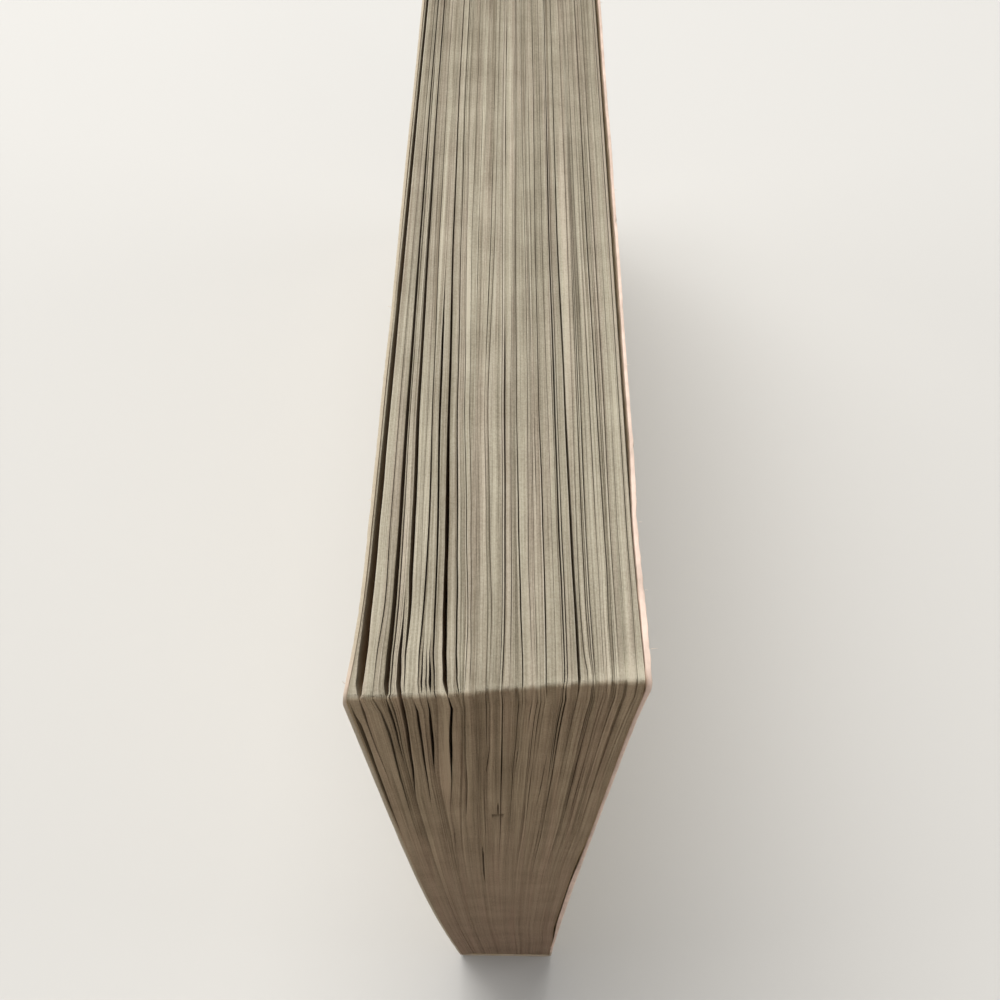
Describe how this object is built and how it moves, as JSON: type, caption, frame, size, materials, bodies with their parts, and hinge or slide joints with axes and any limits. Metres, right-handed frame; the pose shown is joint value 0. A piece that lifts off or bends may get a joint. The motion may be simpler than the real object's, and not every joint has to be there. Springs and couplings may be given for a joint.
{
  "type": "paperback book",
  "caption": "Worn thick paperback standing on its spine, with fanned aged leaves, a glued card cover and two covers that open on their hinge scores.",
  "frame": {"origin": "on the surface that the book stands on, under the middle of its bounding box", "axes": "+Z from the spine up to the fore-edge, +Y along the spine from tail to head, +X from the front cover to the back cover"},
  "size_m": [0.0228, 0.1758, 0.106],
  "materials": {
    "aged_paper": "matt, yellowed and browned at the edges",
    "cover_card": "plain worn card, faintly satin outside, frayed rims",
    "binding_glue": "aged hot-melt glue"
  },
  "bodies": {
    "block": {"page_block": "aged_paper", "binding_glue": "binding_glue", "spine_cover": "cover_card"},
    "front_cover": {"front_cover": "cover_card"},
    "back_cover": {"back_cover": "cover_card"}
  },
  "joints": [
    {"name": "front_cover_hinge", "type": "hinge", "parent": "block", "child": "front_cover", "pos_m": [-0.00808, 0, 0.007], "axis": [0, -1, 0], "range_deg": [0, 180], "stiffness_Nm_per_rad": 0.01, "springref_deg": -11.46},
    {"name": "back_cover_hinge", "type": "hinge", "parent": "block", "child": "back_cover", "pos_m": [0.00758, 0, 0.007], "axis": [0, 1, 0], "range_deg": [0, 180], "stiffness_Nm_per_rad": 0.01, "springref_deg": -11.46}
  ]
}
